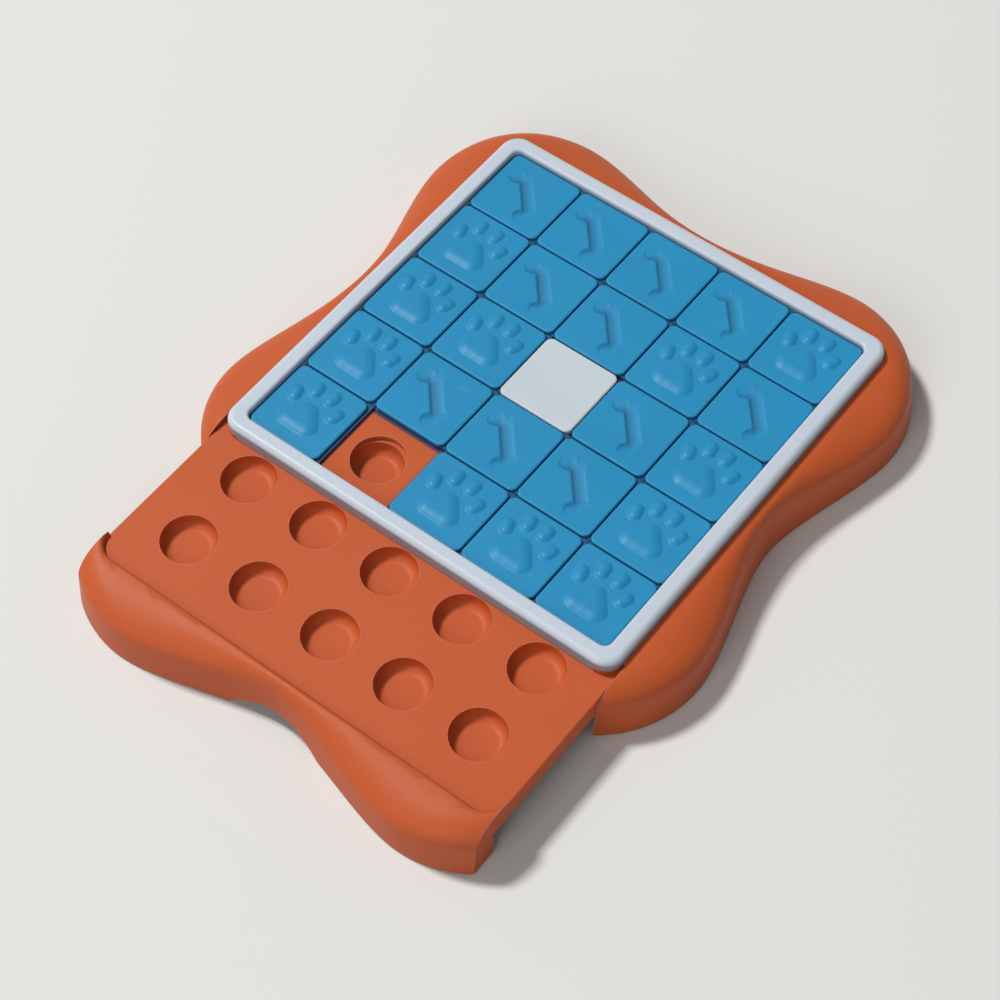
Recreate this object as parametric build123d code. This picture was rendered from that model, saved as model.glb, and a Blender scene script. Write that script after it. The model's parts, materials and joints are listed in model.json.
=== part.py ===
from build123d import *
import os
from math import cos, radians, sin, tan

# Sliding-tile treat puzzle for a dog.  A lobed shell carries a board with a food hole under every
# cell; tongue-and-groove tiles slide over the board inside a rounded frame; a drawer with a cup
# under every hole pulls out at the front.  Millimetres, +Z up, the drawer pulls out along -Y.
# Shapes are drawn about the middle of the board and moved by `placed` when they are written.

# ---- Board and tiles --------------------------------------------------------------------------
BOARD_MAP = (               # seen from above, with the drawer at the bottom
    "bone bone bone bone paw",
    "paw bone bone paw bone",
    "paw paw fixed bone paw",
    "paw bone bone bone paw",
    "paw empty paw paw paw",
)
PITCH = 45.0                # from the middle of one cell to the next
TILE_GAP = 0.3              # between neighbouring tiles, and between a tile and the frame
TILE_THICKNESS = 3.8
TILE_CORNER = 4.0           # corner radius, seen from above
TILE_EDGE_ROUND = 1.2       # rounding of the top edge
TONGUE_LENGTH = 30.0
TONGUE_REACH = 1.1          # how far a tongue stands out of its tile
TONGUE_THICKNESS = 1.0
TONGUE_RISE = 0.85          # underside of the tongue above the underside of the tile
TONGUE_PLAY = 0.15          # above and below a tongue in its groove
GROOVE_DEPTH = 1.1

# ---- Figures on the tiles ---------------------------------------------------------------------
PAD_HEIGHT = 0.9            # how far the pads of a paw stand up
PAD_SLOPE = 50.0            # degrees that their walls lean in
TOE_WIDTH = 6.6
TOE_LENGTH = 10.0
INNER_TOE = (5.1, 12.8)     # from the middle of the tile, right and left
INNER_TOE_LEAN = 6.0        # degrees that it points outwards
OUTER_TOE = (12.8, 5.0)
OUTER_TOE_LEAN = 18.0
HEEL_ROUND = 5.6            # radius of the three corners of the heel pad
HEEL_TOP = -1.2             # middle of its top corner
HEEL_SIDE = (5.6, -8.4)     # middles of its side corners
BONE_LENGTH = 38.0
BONE_WIDTH = 19.0           # across its knobs
BONE_SHAFT = 8.0
BONE_KNOB_RADIUS = 4.9
BONE_DEPTH = 0.7
BONE_SLOPE = 58.0           # degrees that its walls lean out
BONE_TURN = 131.0           # degrees from the right, as it lies on the tile
BONE_MIDDLE = (0.6, 1.0)

BOARD_HEIGHT = 32.2         # from the floor to the top of the board
BOARD_THICKNESS = 2.2
BOARD_RIM = 6.35            # width of the thin rim that lies on the shell's ledge
BOARD_RIM_THICKNESS = 1.0
HOLE_RADIUS = 14.5
PEG_RADIUS = 1.5
PEG_PLAY = 0.1              # around a peg in its hole
MIDDLE_PEG_OFFSET = 12.0    # from the middle of the fixed tile, along X and along Y
FRAME_PEGS_PER_SIDE = 4
FRAME_PEG_SPACING = 62.0

# ---- Frame around the tiles -------------------------------------------------------------------
FRAME_WIDTH = 9.4
FRAME_STAND = 3.0           # above the tops of the tiles
FRAME_OUTER_ROUND = 3.4
FRAME_INNER_ROUND = 1.6
FRAME_CORNER = 10.5         # outer corner radius, seen from above
FRAME_LIP_THICKNESS = 1.7   # lip that hides the front edge of the board
FRAME_FIT = 0.15            # between the frame and the shell around it

# ---- Shell ------------------------------------------------------------------------------------
SHELL_WALL = 2.0
SHELL_RISE = 0.65           # top of the shell above the board, where it meets the frame
SHELL_LAND = 0.5            # flat top of the shell around the frame
LOBE_OVERHANG = 26.6        # from the flat top out to the bottom edge of a lobe
WAIST_OVERHANG = 8.7        # from the flat top out to the bottom edge between two lobes
LOBE_RADIUS = 63.0
FLANK_EASE = 25.0           # how gently a flank leaves its lobe and its waist
SHOULDER_DROP = 13.0        # height of the rounded shoulder
WAIST_FULLNESS = 0.6        # under 1 makes the shoulder squarer between the lobes
SHOULDER_STEPS = (0, 25, 47, 68, 90)   # degrees round the shoulder at which it is drawn
SKIRT_FLARE = 1.2           # how far the skirt leans out below the shoulder
SKIRT_LIFT = 1.0            # bottom edge above the floor
CHEEK_THICKNESS = 2.0       # walls that close the lobes beside the drawer
CHEEK_DEPTH = 10.0          # how far they reach in behind the front of the frame
GUSSET_THICKNESS = 1.6      # ribs from the posts and bosses out to the wall
GUSSET_LOW = 12.0

# ---- Drawer -----------------------------------------------------------------------------------
DRAWER_PULL = 92.0          # how far it stands out at rest
DRAWER_SPREAD = 1.2         # wider than the frame, each side
DRAWER_PLATE = 2.4
DRAWER_EDGE_ROUND = 0.8     # long edges of the plate
DRAWER_TOP_PLAY = 0.5       # under the board
DRAWER_SIDE_PLAY = 0.25     # beside it, in the shell
DRAWER_FRONT_PLAY = 0.35    # between its raised front and the frame when it is shut
DRAWER_SIDE_DEPTH = 12.0
DRAWER_WALL = 1.8
DRAWER_REAR_PLAY = 3.0      # behind it, inside the opening of the shell, when it is shut
DRAWER_RIB = 1.4            # thickness of the ribs under the plate
DRAWER_RIB_DEPTH = 4.5
FRONT_WALL = 2.0
FRONT_CREST_SLOPE = 1.4     # chamfer along the inner top edge of the raised front
CUP_DEPTH = 7.5
CUP_WALL = 1.6
CUP_DRAFT = 1.0             # how much narrower a cup is at its floor, on the radius
CUP_FLOOR_ROUND = 5.0
FINGER_WIDTH = 56.0
FINGER_HEIGHT = 10.0

# ---- Runners, screws and feet -----------------------------------------------------------------
RUNNER_PLAY = 0.3           # under the drawer's sides
RUNNER_SIDE_PLAY = 0.4      # beside them
RUNNER_THICKNESS = 2.2
RUNNER_WEB = 1.8
RUNNER_SEAT = 8.0           # how far the flat reaches in under the drawer
RUNNER_WEB_HEIGHT = 7.0     # above the flat
RUNNER_END_PLAY = 2.0       # behind the walls that close the lobes
EAR_WIDTH = 14.0
EAR_END = 5.8               # beyond the middle of its screw
SCREW_OFFSET = 8.0          # from the inside of the runner's web
BOSS_SETBACK = 24.0         # from the middle of a lobe towards the waist
BOSS_RADIUS = 4.2
SCREW_RADIUS = 1.5
SCREW_GRIP = 8.0            # length in the boss
SCREW_PLAY = 0.1
BORE_SPARE = 1.5            # how much deeper a blind bore is than what goes into it
SCREW_HEAD_RADIUS = 3.2
SCREW_HEAD_HEIGHT = 1.8
FOOT_INSET = 15.4           # from the bottom edge of a lobe
FOOT_SETBACK = 6.0          # from the middle of a lobe towards its end
FOOT_POST_RADIUS = 7.5
FOOT_RADIUS = 6.5
FOOT_HEIGHT = 2.4
FOOT_ROUND = 0.6
FOOT_STEM_RADIUS = 2.4
FOOT_STEM_LENGTH = 5.0
FOOT_STEM_PLAY = 0.05

# ---- Levels and half widths that follow -------------------------------------------------------
CELLS = len(BOARD_MAP)      # along each side of the board
FIELD_HALF = CELLS * PITCH / 2
TILE_SIDE = PITCH - TILE_GAP
TILE_TOP = BOARD_HEIGHT + TILE_THICKNESS
BOARD_UNDERSIDE = BOARD_HEIGHT - BOARD_THICKNESS
LEDGE_TOP = BOARD_HEIGHT - BOARD_RIM_THICKNESS
FRAME_INNER = FIELD_HALF + TILE_GAP / 2
FRAME_OUTER = FRAME_INNER + FRAME_WIDTH
FRAME_TOP = TILE_TOP + FRAME_STAND
BOARD_HALF = FRAME_INNER + BOARD_RIM
BOARD_DROP_HALF = FRAME_INNER + FRAME_FIT
SEAM_HALF = FRAME_OUTER + FRAME_FIT
SHELL_TOP_HALF = SEAM_HALF + SHELL_LAND
SEAM_TOP = BOARD_HEIGHT + SHELL_RISE
LOBE_REACH = SHELL_TOP_HALF + LOBE_OVERHANG
LOBE_MIDDLE = LOBE_REACH - LOBE_RADIUS
DRAWER_TOP = BOARD_UNDERSIDE - DRAWER_TOP_PLAY
DRAWER_SIDE_LEVEL = DRAWER_TOP - DRAWER_SIDE_DEPTH
DRAWER_FRONT_FACE = FRAME_OUTER + DRAWER_FRONT_PLAY
DRAWER_HALF_WIDTH = FRAME_OUTER + DRAWER_SPREAD
DRAWER_REAR = BOARD_DROP_HALF - DRAWER_REAR_PLAY
SLOT_HALF = DRAWER_HALF_WIDTH + DRAWER_SIDE_PLAY
RUNNER_TOP = DRAWER_SIDE_LEVEL - RUNNER_PLAY
RUNNER_UNDERSIDE = RUNNER_TOP - RUNNER_THICKNESS
RUNNER_WEB_IN = DRAWER_HALF_WIDTH + RUNNER_SIDE_PLAY
RUNNER_HALF_LENGTH = DRAWER_FRONT_FACE - CHEEK_DEPTH - RUNNER_END_PLAY
BOSS_X = RUNNER_WEB_IN + SCREW_OFFSET
BOSS_Y = LOBE_MIDDLE - BOSS_SETBACK
FOOT_X = LOBE_REACH - FOOT_INSET
FOOT_Y = LOBE_MIDDLE + FOOT_SETBACK
BOARD_Y = DRAWER_PULL / 2   # puts the origin under the middle of the part, drawer out
FAR = 400.0                 # longer than the part, for cutting tools


def block(x0, x1, y0, y1, z0, z1):
    """A box between two corners."""
    box = Box(abs(x1 - x0), abs(y1 - y0), abs(z1 - z0))
    return Pos((x0 + x1) / 2, (y0 + y1) / 2, (z0 + z1) / 2) * box


def rod(x, y, z0, z1, radius):
    """An upright cylinder."""
    return Pos(x, y, z0) * Cylinder(radius, z1 - z0, align=(Align.CENTER, Align.CENTER, Align.MIN))


def slab(half, corner, z0, z1):
    """A square plate about the middle of the board."""
    outline = RectangleRounded(2 * half, 2 * half, corner) if corner else Rectangle(2 * half, 2 * half)
    return Pos(0, 0, z0) * extrude(outline, z1 - z0)


def frame_outline(play, z0, z1):
    """A plate with the outline of the frame, larger by some play all round."""
    return slab(FRAME_OUTER + play, FRAME_CORNER + play, z0, z1)


def cells():
    """Every cell: row 1 is beside the drawer's front, column 1 is on the left."""
    return [(row, column) for row in range(1, CELLS + 1) for column in range(1, CELLS + 1)]


def cell_middle(row, column):
    return (column - (CELLS + 1) / 2) * PITCH, (row - (CELLS + 1) / 2) * PITCH


def figure_at(row, column):
    return BOARD_MAP[CELLS - row].split()[column - 1]


FIXED_CELL = next(cell for cell in cells() if figure_at(*cell) == "fixed")
FOOD_CELLS = [cell for cell in cells() if cell != FIXED_CELL]


# ---- Shell form, shared by the shell and the drawer's front -----------------------------------
def lobed_outline(reach, waist, corner, z):
    """Four corner arcs, each joined to the next by a flank into the waist and a flank out of it."""
    middle = reach - corner
    eased = middle - FLANK_EASE
    arc = CenterArc((middle, middle, z), corner, 0, 90)
    flank_in = Bezier((waist, 0, z), (waist, FLANK_EASE, z), (reach, eased, z), (reach, middle, z))
    flank_out = Bezier((middle, reach, z), (eased, reach, z), (FLANK_EASE, waist, z), (0, waist, z))
    quarter = [flank_in, arc, flank_out]
    edges = [edge.rotate(Axis.Z, 90 * turn) for turn in range(4) for edge in quarter]
    return Face(Wire(edges))


def shell_form(inset):
    """The shell's outer form, or the form a wall's thickness inside it."""
    lobe_reach = LOBE_OVERHANG - SKIRT_FLARE
    waist_reach = WAIST_OVERHANG - SKIRT_FLARE
    shoulder = []
    for step in SHOULDER_STEPS:
        out = sin(radians(step))
        reach = SHELL_TOP_HALF + lobe_reach * out - inset
        waist = SHELL_TOP_HALF + waist_reach * out**WAIST_FULLNESS - inset
        corner = FRAME_CORNER + (LOBE_RADIUS - FRAME_CORNER) * out - inset
        level = SEAM_TOP - SHOULDER_DROP * (1 - cos(radians(step))) - inset
        shoulder.append(lobed_outline(reach, waist, corner, level))
    foot = lobed_outline(LOBE_REACH - inset, SHELL_TOP_HALF + WAIST_OVERHANG - inset,
                         LOBE_RADIUS - inset, SKIRT_LIFT - inset)
    return loft(shoulder) + loft([shoulder[-1], foot], ruled=True)


OUTER_FORM = shell_form(0)
INNER_FORM = shell_form(SHELL_WALL)


def frame_pegs(radius, z0, z1):
    """Pegs, or their holes, along the middle of the frame."""
    run = FRAME_INNER + BOARD_RIM / 2
    pegs = []
    for index in range(FRAME_PEGS_PER_SIDE):
        along = (index - (FRAME_PEGS_PER_SIDE - 1) / 2) * FRAME_PEG_SPACING
        places = ((along, run), (along, -run), (run, along), (-run, along))
        pegs += [rod(x, y, z0, z1, radius) for x, y in places]
    return pegs


def middle_pegs(radius, z0, z1):
    """Pegs, or their holes, under the fixed tile."""
    x, y = cell_middle(*FIXED_CELL)
    signs = ((1, 1), (1, -1), (-1, 1), (-1, -1))
    return [rod(x + a * MIDDLE_PEG_OFFSET, y + b * MIDDLE_PEG_OFFSET, z0, z1, radius) for a, b in signs]


def shell_posts():
    """Where the shell is thickened for a screw or a foot: x, y, underside and radius."""
    posts = []
    for side in (1, -1):
        for end in (1, -1):
            posts.append((side * BOSS_X, end * BOSS_Y, RUNNER_TOP, BOSS_RADIUS))
            posts.append((side * FOOT_X, end * FOOT_Y, FOOT_HEIGHT, FOOT_POST_RADIUS))
    return posts


def base_shell():
    shell = OUTER_FORM - INNER_FORM
    ledge = slab(SHELL_TOP_HALF + SHELL_WALL, 0, BOARD_UNDERSIDE, SEAM_TOP)
    shell += ledge & OUTER_FORM
    shell -= slab(BOARD_DROP_HALF, 0, 0, FAR)
    shell -= slab(BOARD_HALF + FRAME_FIT, TILE_CORNER, LEDGE_TOP, FAR)
    shell -= frame_outline(FRAME_FIT, BOARD_HEIGHT, FAR)

    cheek_back = -(DRAWER_FRONT_FACE - CHEEK_DEPTH)
    for side in (1, -1):
        cheek = block(side * SLOT_HALF, side * (SLOT_HALF + CHEEK_THICKNESS), -FAR, cheek_back,
                      SKIRT_LIFT, SEAM_TOP)
        shell += cheek & OUTER_FORM
    for x, y, underside, radius in shell_posts():
        outward = FAR if x > 0 else -FAR
        gusset = block(x, outward, y - GUSSET_THICKNESS / 2, y + GUSSET_THICKNESS / 2,
                       max(GUSSET_LOW, underside), SEAM_TOP)
        shell += (gusset + rod(x, y, underside, SEAM_TOP, radius)) & OUTER_FORM

    shell -= block(-SLOT_HALF, SLOT_HALF, -FAR, -BOARD_DROP_HALF, -1, BOARD_UNDERSIDE)
    beside_corners = block(-SLOT_HALF, SLOT_HALF, -FAR, FRAME_CORNER - FRAME_OUTER, 0, FAR)
    shell -= beside_corners - frame_outline(FRAME_FIT, -1, FAR)
    lip_half = FRAME_OUTER - FRAME_CORNER + FRAME_FIT
    lip_back = -(FRAME_OUTER - FRAME_LIP_THICKNESS - FRAME_FIT)
    shell -= block(-lip_half, lip_half, -FAR, lip_back, -1, FAR)

    for side in (1, -1):
        for end in (1, -1):
            shell -= rod(side * BOSS_X, end * BOSS_Y, 0, RUNNER_TOP + SCREW_GRIP + BORE_SPARE,
                         SCREW_RADIUS + SCREW_PLAY)
            shell -= rod(side * FOOT_X, end * FOOT_Y, 0, FOOT_HEIGHT + FOOT_STEM_LENGTH + BORE_SPARE,
                         FOOT_STEM_RADIUS + FOOT_STEM_PLAY)
    for hole in frame_pegs(PEG_RADIUS + PEG_PLAY, 0, FAR):
        shell -= hole
    return shell


def game_board():
    board = slab(BOARD_HALF, TILE_CORNER, BOARD_HEIGHT - BOARD_RIM_THICKNESS, BOARD_HEIGHT)
    board += slab(FRAME_INNER, 0, BOARD_UNDERSIDE, BOARD_HEIGHT)
    for cell in FOOD_CELLS:
        board -= rod(*cell_middle(*cell), 0, FAR, HOLE_RADIUS)
    for hole in frame_pegs(PEG_RADIUS + PEG_PLAY, 0, FAR) + middle_pegs(PEG_RADIUS + PEG_PLAY, 0, FAR):
        board -= hole
    return board


def toe(inset):
    """The outline of a toe, drawn in by an inset."""
    return SlotOverall(TOE_LENGTH - 2 * inset, TOE_WIDTH - 2 * inset)


def heel(inset):
    """The outline of the heel pad, drawn in by an inset."""
    x, y = HEEL_SIDE
    return offset(Polygon((0, HEEL_TOP), (-x, y), (x, y), align=None), HEEL_ROUND - inset)


def pad(outline):
    """A flat-topped pad on a tile, with walls that lean in."""
    lean = PAD_HEIGHT * tan(radians(PAD_SLOPE))
    foot_line = Pos(0, 0, TILE_THICKNESS) * outline(0)
    top_line = Pos(0, 0, TILE_THICKNESS + PAD_HEIGHT) * outline(lean)
    return loft([foot_line, top_line], ruled=True)


def paw():
    """Four toes and a three-cornered heel pad, with the toes towards the back of the board."""
    pads = [pad(heel)]
    for side in (1, -1):
        for (x, y), lean in ((INNER_TOE, INNER_TOE_LEAN), (OUTER_TOE, OUTER_TOE_LEAN)):
            pads.append(Pos(side * x, y, 0) * Rot(0, 0, 90 - side * lean) * pad(toe))
    return pads


def bone():
    """The hollow of a bone: a shaft with two knobs at each end, and walls that lean out."""
    lean = BONE_DEPTH * tan(radians(BONE_SLOPE))
    half = BONE_SHAFT / 2
    section = Polygon((-half, 0), (lean - half, -BONE_DEPTH), (half - lean, -BONE_DEPTH), (half, 0), align=None)
    hollow = extrude(Plane.YZ * section, BONE_LENGTH / 2 - BONE_KNOB_RADIUS, both=True)
    knob = Cone(BONE_KNOB_RADIUS - lean, BONE_KNOB_RADIUS, BONE_DEPTH,
                align=(Align.CENTER, Align.CENTER, Align.MAX))
    for end in (1, -1):
        for side in (1, -1):
            hollow += Pos(end * (BONE_LENGTH / 2 - BONE_KNOB_RADIUS),
                          side * (BONE_WIDTH / 2 - BONE_KNOB_RADIUS), 0) * knob
    return Pos(*BONE_MIDDLE, TILE_THICKNESS) * Rot(0, 0, BONE_TURN) * hollow


def tile():
    """A plain tile with tongues to the right and the back, grooves to the left and the front."""
    half = TILE_SIDE / 2
    body = extrude(RectangleRounded(TILE_SIDE, TILE_SIDE, TILE_CORNER), TILE_THICKNESS)
    body = fillet(body.faces().sort_by(Axis.Z)[-1].edges(), TILE_EDGE_ROUND)
    tongue_top = TONGUE_RISE + TONGUE_THICKNESS
    reach = half + TONGUE_REACH
    body += block(0, reach, -TONGUE_LENGTH / 2, TONGUE_LENGTH / 2, TONGUE_RISE, tongue_top)
    body += block(-TONGUE_LENGTH / 2, TONGUE_LENGTH / 2, 0, reach, TONGUE_RISE, tongue_top)
    low = TONGUE_RISE - TONGUE_PLAY
    high = tongue_top + TONGUE_PLAY
    body -= block(-PITCH, GROOVE_DEPTH - half, -PITCH, PITCH, low, high)
    body -= block(-PITCH, PITCH, -PITCH, GROOVE_DEPTH - half, low, high)
    return body


def centre_tile(plain_tile):
    fixed = Pos(*cell_middle(*FIXED_CELL), BOARD_HEIGHT) * plain_tile
    for peg in middle_pegs(PEG_RADIUS, BOARD_UNDERSIDE, BOARD_HEIGHT + TONGUE_RISE / 2):
        fixed += peg
    return fixed


def tile_frame():
    frame = slab(FRAME_OUTER, FRAME_CORNER, BOARD_HEIGHT, FRAME_TOP)
    frame = fillet(frame.faces().sort_by(Axis.Z)[-1].edges(), FRAME_OUTER_ROUND)
    frame -= slab(FRAME_INNER, TILE_CORNER + TILE_GAP, 0, FAR)
    inner_top = frame.faces().sort_by(Axis.Z)[-1].inner_wires()[0].edges()
    frame = fillet(inner_top, FRAME_INNER_ROUND)

    tongue_low = BOARD_HEIGHT + TONGUE_RISE
    tongue_high = tongue_low + TONGUE_THICKNESS
    run = FIELD_HALF - (PITCH - TONGUE_LENGTH) / 2
    rail = FRAME_INNER - TONGUE_REACH
    middle = FRAME_INNER + FRAME_WIDTH / 4
    frame += block(-middle, -rail, -run, run, tongue_low, tongue_high)
    frame += block(-run, run, -middle, -rail, tongue_low, tongue_high)
    groove = FRAME_INNER + GROOVE_DEPTH
    groove_low = tongue_low - TONGUE_PLAY
    groove_high = tongue_high + TONGUE_PLAY
    groove_run = run + TILE_GAP
    frame -= block(0, groove, -groove_run, groove_run, groove_low, groove_high)
    frame -= block(-groove_run, groove_run, 0, groove, groove_low, groove_high)

    lip_half = FRAME_OUTER - FRAME_CORNER
    lip_back = -(FRAME_OUTER - FRAME_LIP_THICKNESS)
    frame += block(-lip_half, lip_half, -FRAME_OUTER, lip_back, BOARD_UNDERSIDE, BOARD_HEIGHT)
    for peg in frame_pegs(PEG_RADIUS, BOARD_UNDERSIDE, BOARD_HEIGHT + TONGUE_RISE / 2):
        frame += peg
    return frame


def cup_forms():
    """The hollow of a cup and the wall around it, each turned about its own middle."""
    floor = DRAWER_TOP - CUP_DEPTH
    hollow = Cone(HOLE_RADIUS - CUP_DRAFT, HOLE_RADIUS, CUP_DEPTH, align=(Align.CENTER, Align.CENTER, Align.MIN))
    hollow = Pos(0, 0, floor) * hollow
    hollow = fillet(hollow.edges().group_by(Axis.Z)[0], CUP_FLOOR_ROUND)
    wall_height = CUP_DEPTH + CUP_WALL - DRAWER_PLATE / 2
    wall = Cone(HOLE_RADIUS + CUP_WALL - CUP_DRAFT, HOLE_RADIUS + CUP_WALL, wall_height,
                align=(Align.CENTER, Align.CENTER, Align.MIN))
    wall = fillet(wall.edges().group_by(Axis.Z)[0], CUP_FLOOR_ROUND)
    return hollow, Pos(0, 0, floor - CUP_WALL) * wall


def raised_front():
    """The drawer's share of the shell's form, hollow behind, with horns round the frame's corners."""
    half = DRAWER_HALF_WIDTH
    face = -DRAWER_FRONT_FACE
    front = OUTER_FORM & block(-half, half, -FAR, face, 0, FAR)
    horns = OUTER_FORM & block(-half, half, face - FRONT_WALL, FRAME_CORNER - FRAME_OUTER,
                               DRAWER_TOP - DRAWER_PLATE / 2, FAR)
    front += horns - frame_outline(DRAWER_FRONT_PLAY, 0, FAR)
    side = 2 * DRAWER_FRONT_FACE
    outline = RectangleRounded(side, side, FRAME_CORNER + DRAWER_FRONT_PLAY)
    crest = extrude(outline, FRONT_CREST_SLOPE, taper=-45)
    front -= Pos(0, 0, SEAM_TOP - FRONT_CREST_SLOPE) * crest
    front -= INNER_FORM & block(FRONT_WALL - half, half - FRONT_WALL, -FAR, face - FRONT_WALL, -FAR, FAR)
    spread = FINGER_WIDTH / 2
    arch_radius = (spread**2 + FINGER_HEIGHT**2) / (2 * FINGER_HEIGHT)
    arch = Cylinder(arch_radius, FAR, rotation=(90, 0, 0))
    return front - Pos(0, -FAR / 2 + face, SKIRT_LIFT + FINGER_HEIGHT - arch_radius) * arch


def treat_drawer():
    half = DRAWER_HALF_WIDTH
    face = -DRAWER_FRONT_FACE
    underside = DRAWER_TOP - DRAWER_PLATE
    drawer = block(-half, half, face - FRONT_WALL / 2, DRAWER_REAR, DRAWER_SIDE_LEVEL, DRAWER_TOP)
    drawer = fillet(drawer.edges().filter_by(Axis.Y).group_by(Axis.Z)[-1], DRAWER_EDGE_ROUND)
    drawer -= block(DRAWER_WALL - half, half - DRAWER_WALL, face, DRAWER_REAR - DRAWER_WALL, 0, underside)
    for gap in range(1, CELLS):
        along = gap * PITCH - FIELD_HALF
        near = along - DRAWER_RIB / 2
        far = along + DRAWER_RIB / 2
        drawer += block(near, far, face, DRAWER_REAR - DRAWER_WALL, underside - DRAWER_RIB_DEPTH, DRAWER_TOP)
        drawer += block(DRAWER_WALL - half, half - DRAWER_WALL, near, far,
                        underside - DRAWER_RIB_DEPTH, DRAWER_TOP)
    hollow, wall = cup_forms()
    for cell in FOOD_CELLS:
        drawer += Pos(*cell_middle(*cell), 0) * wall
    for cell in FOOD_CELLS:
        drawer -= Pos(*cell_middle(*cell), 0) * hollow
    drawer += raised_front()
    return Pos(0, -DRAWER_PULL, 0) * drawer


def runner(side):
    web_out = RUNNER_WEB_IN + RUNNER_WEB
    seat = DRAWER_HALF_WIDTH - RUNNER_SEAT
    run = RUNNER_HALF_LENGTH
    rail = block(seat, web_out, -run, run, RUNNER_UNDERSIDE, RUNNER_TOP)
    rail += block(RUNNER_WEB_IN, web_out, -run, run, RUNNER_UNDERSIDE, RUNNER_TOP + RUNNER_WEB_HEIGHT)
    for end in (1, -1):
        middle = end * BOSS_Y
        rail += block(RUNNER_WEB_IN, BOSS_X + EAR_END, middle - EAR_WIDTH / 2, middle + EAR_WIDTH / 2,
                      RUNNER_UNDERSIDE, RUNNER_TOP)
        rail -= rod(BOSS_X, middle, 0, RUNNER_TOP, SCREW_RADIUS + SCREW_PLAY)
    return rail if side > 0 else mirror(rail, Plane.YZ)


def runner_screws():
    screws = []
    for side in (1, -1):
        for end in (1, -1):
            x, y = side * BOSS_X, end * BOSS_Y
            head = rod(x, y, RUNNER_UNDERSIDE - SCREW_HEAD_HEIGHT, RUNNER_UNDERSIDE, SCREW_HEAD_RADIUS)
            screws.append(head + rod(x, y, RUNNER_UNDERSIDE, RUNNER_TOP + SCREW_GRIP, SCREW_RADIUS))
    return Compound(children=screws)


def foot(side, end):
    pad = rod(0, 0, 0, FOOT_HEIGHT, FOOT_RADIUS)
    pad = fillet(pad.edges().group_by(Axis.Z)[0], FOOT_ROUND)
    pad += rod(0, 0, FOOT_HEIGHT / 2, FOOT_HEIGHT + FOOT_STEM_LENGTH, FOOT_STEM_RADIUS)
    return Pos(side * FOOT_X, end * FOOT_Y, 0) * pad


def placed(shape):
    return Pos(0, BOARD_Y, 0) * shape


def build():
    """Every piece by name."""
    plain_tile = tile()
    figured = {"paw": plain_tile + paw(), "bone": plain_tile - bone()}
    pieces = {
        "base_shell": base_shell(),
        "game_board": game_board(),
        "tile_frame": tile_frame(),
        "centre_tile": centre_tile(plain_tile),
        "treat_drawer": treat_drawer(),
        "runner_left": runner(-1),
        "runner_right": runner(1),
        "runner_screws": runner_screws(),
        "foot_front_left": foot(-1, -1),
        "foot_front_right": foot(1, -1),
        "foot_back_left": foot(-1, 1),
        "foot_back_right": foot(1, 1),
    }
    for row, column in cells():
        figure = figure_at(row, column)
        if figure in figured:
            middle = Pos(*cell_middle(row, column), BOARD_HEIGHT)
            pieces[f"{figure}_tile_r{row}c{column}"] = middle * figured[figure]
    return pieces


os.makedirs("parts", exist_ok=True)
for name, piece in build().items():
    export_step(placed(piece), f"parts/{name}.step")
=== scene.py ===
# %% [markdown]
# # A dog's sliding-tile puzzle, dressed for its portrait
# The toy is a lobed orange shell with a field of blue tiles on top and a drawer of treat cups in front.
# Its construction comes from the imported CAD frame, and nothing here moves or resizes it.
# This lesson gives every piece its moulded surface: the camera and the light first, then the finishes,
# then the tiles and the screws, whose figures and threads Geometry Nodes work into fine meshes.

# %% Load the frame
import json
import math

import bpy
from mathutils import Matrix, Vector


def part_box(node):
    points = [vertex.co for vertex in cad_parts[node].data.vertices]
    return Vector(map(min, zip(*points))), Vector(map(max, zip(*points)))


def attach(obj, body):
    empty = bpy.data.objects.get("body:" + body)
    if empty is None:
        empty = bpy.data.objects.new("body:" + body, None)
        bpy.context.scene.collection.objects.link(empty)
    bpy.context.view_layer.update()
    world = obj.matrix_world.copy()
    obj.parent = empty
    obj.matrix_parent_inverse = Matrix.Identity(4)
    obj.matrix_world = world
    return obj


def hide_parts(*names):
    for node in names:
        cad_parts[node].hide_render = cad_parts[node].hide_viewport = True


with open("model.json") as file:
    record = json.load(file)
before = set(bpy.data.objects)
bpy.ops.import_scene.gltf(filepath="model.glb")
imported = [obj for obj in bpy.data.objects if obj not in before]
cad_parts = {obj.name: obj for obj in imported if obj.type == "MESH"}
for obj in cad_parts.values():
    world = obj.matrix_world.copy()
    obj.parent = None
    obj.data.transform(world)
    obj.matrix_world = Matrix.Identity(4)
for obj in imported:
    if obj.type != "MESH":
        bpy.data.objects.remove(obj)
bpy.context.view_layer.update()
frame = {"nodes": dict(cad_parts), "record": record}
nodes = frame["nodes"]
record = frame["record"]
slot_of = {part["node"]: part["material_slot"] for part in record["subparts"]}
body_of = {node: body for body, members in record["behaviour"]["bodies"].items() for node in members}

# %% [markdown]
# ## The camera
# A product picture is taken from above and to one side, so that the tiles, the drawer and the lobes all show.
# The lens is long and the camera far away, which keeps the field of tiles almost free of perspective.

# %% Place the camera
CAMERA_AZIMUTH = math.radians(37.8)
CAMERA_ELEVATION = math.radians(55.7)
CAMERA_ROLL = math.radians(0.45)
CAMERA_DISTANCE = 1.2364
CAMERA_AIM = Vector((0.0292, -0.0271, 0.036))
CAMERA_LENS = 90.7
CAMERA_SHIFT = (-0.017, 0.0075)


def towards_camera(azimuth, elevation):
    """The direction from the toy to a camera at these angles. Azimuth 0 looks along +Y."""
    level = math.cos(elevation)
    return Vector((math.sin(azimuth) * level, -math.cos(azimuth) * level, math.sin(elevation)))


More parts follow.
